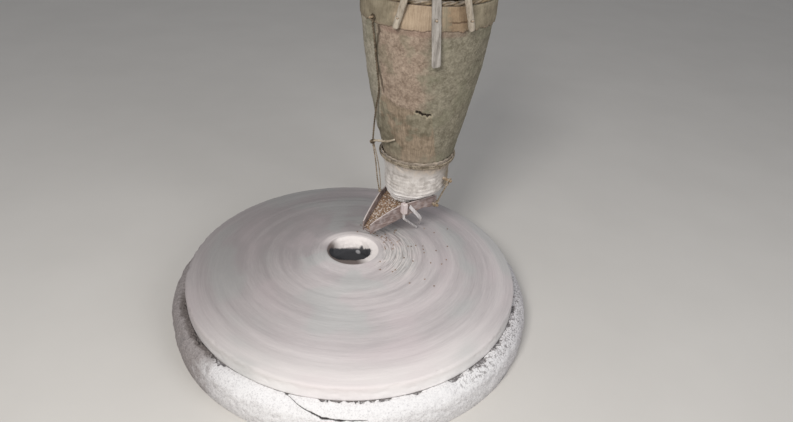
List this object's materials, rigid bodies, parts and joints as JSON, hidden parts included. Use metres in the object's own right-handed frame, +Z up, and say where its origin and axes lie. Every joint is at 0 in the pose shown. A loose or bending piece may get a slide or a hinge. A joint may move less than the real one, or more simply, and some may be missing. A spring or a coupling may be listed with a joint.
{
  "type": "watermill grinding set: millstones, hopper and feeding shoe",
  "caption": "Grinding gear of a small watermill: domed runner stone that spins over a bed stone, hung basket hopper with a cloth spout, feeding shoe and clappers.",
  "frame": {"origin": "foot of the spindle, on the stones' axis at floor level", "axes": "+Z up along the spindle; +X to the viewer's right and +Y away from the viewer, towards the hopper and its post"},
  "size_m": [0.992, 1.0926, 1.01],
  "materials": {
    "runner_stone": "floury worn stone",
    "bed_stone": "rough broken stone under flour",
    "bush_wood": "dull oiled wood",
    "iron": "dull worn iron",
    "basket_mud": "withies under a dry coat of mud",
    "rim_straw": "pale straw cloth, matt",
    "hoop_withy": "peeled withy",
    "sleeve_cloth": "cotton stiff with flour",
    "post_wood": "old round log",
    "arm_wood": "old hewn beam",
    "hanger_wood": "weathered pale lath",
    "peg_wood": "whittled peg",
    "cord": "twisted hemp",
    "twig_bark": "dry twig",
    "shoe_board": "brown boards with pale worn edges",
    "clapper_wood": "pale floury wood"
  },
  "bodies": {
    "stand": {"bed_stone": "bed_stone", "bed_bush": "bush_wood", "hopper_basket": "basket_mud", "rim_band": "rim_straw", "rim_hoop": "hoop_withy", "rim_pegs": "peg_wood", "hopper_sleeve": "sleeve_cloth", "sleeve_binding": "cord", "neck_pegs": "peg_wood", "post": "post_wood", "tenon_wedge": "peg_wood", "arm": "arm_wood", "stick_peg": "peg_wood", "slat_pins": "peg_wood", "front_slat": "hanger_wood", "rear_slat": "hanger_wood", "left_stick": "hanger_wood", "right_stick": "hanger_wood", "left_hanger": "cord", "right_hanger": "cord", "upper_cord": "cord", "lower_cord": "cord", "twist_twig": "twig_bark"},
    "runner": {"runner_stone": "runner_stone", "rynd": "iron", "spindle": "iron"},
    "shoe": {"shoe_floor": "shoe_board", "shoe_left_board": "shoe_board", "shoe_right_board": "shoe_board", "shoe_back_board": "shoe_board", "shoe_pin": "peg_wood", "clapper_block": "clapper_wood", "clapper_stick": "clapper_wood", "clapper_paddle": "clapper_wood"}
  },
  "joints": [
    {"name": "runner_spin", "type": "hinge", "parent": "stand", "child": "runner", "pos_m": [0, 0, 0], "axis": [0, 0, 1], "continuous": true},
    {"name": "shoe_tilt", "type": "hinge", "parent": "stand", "child": "shoe", "pos_m": [0.17215, 0.17099, 0.27787], "axis": [-0.7193, 0.6947, 0], "range_deg": [-2, 3], "deforming": ["lower_cord"]}
  ]
}
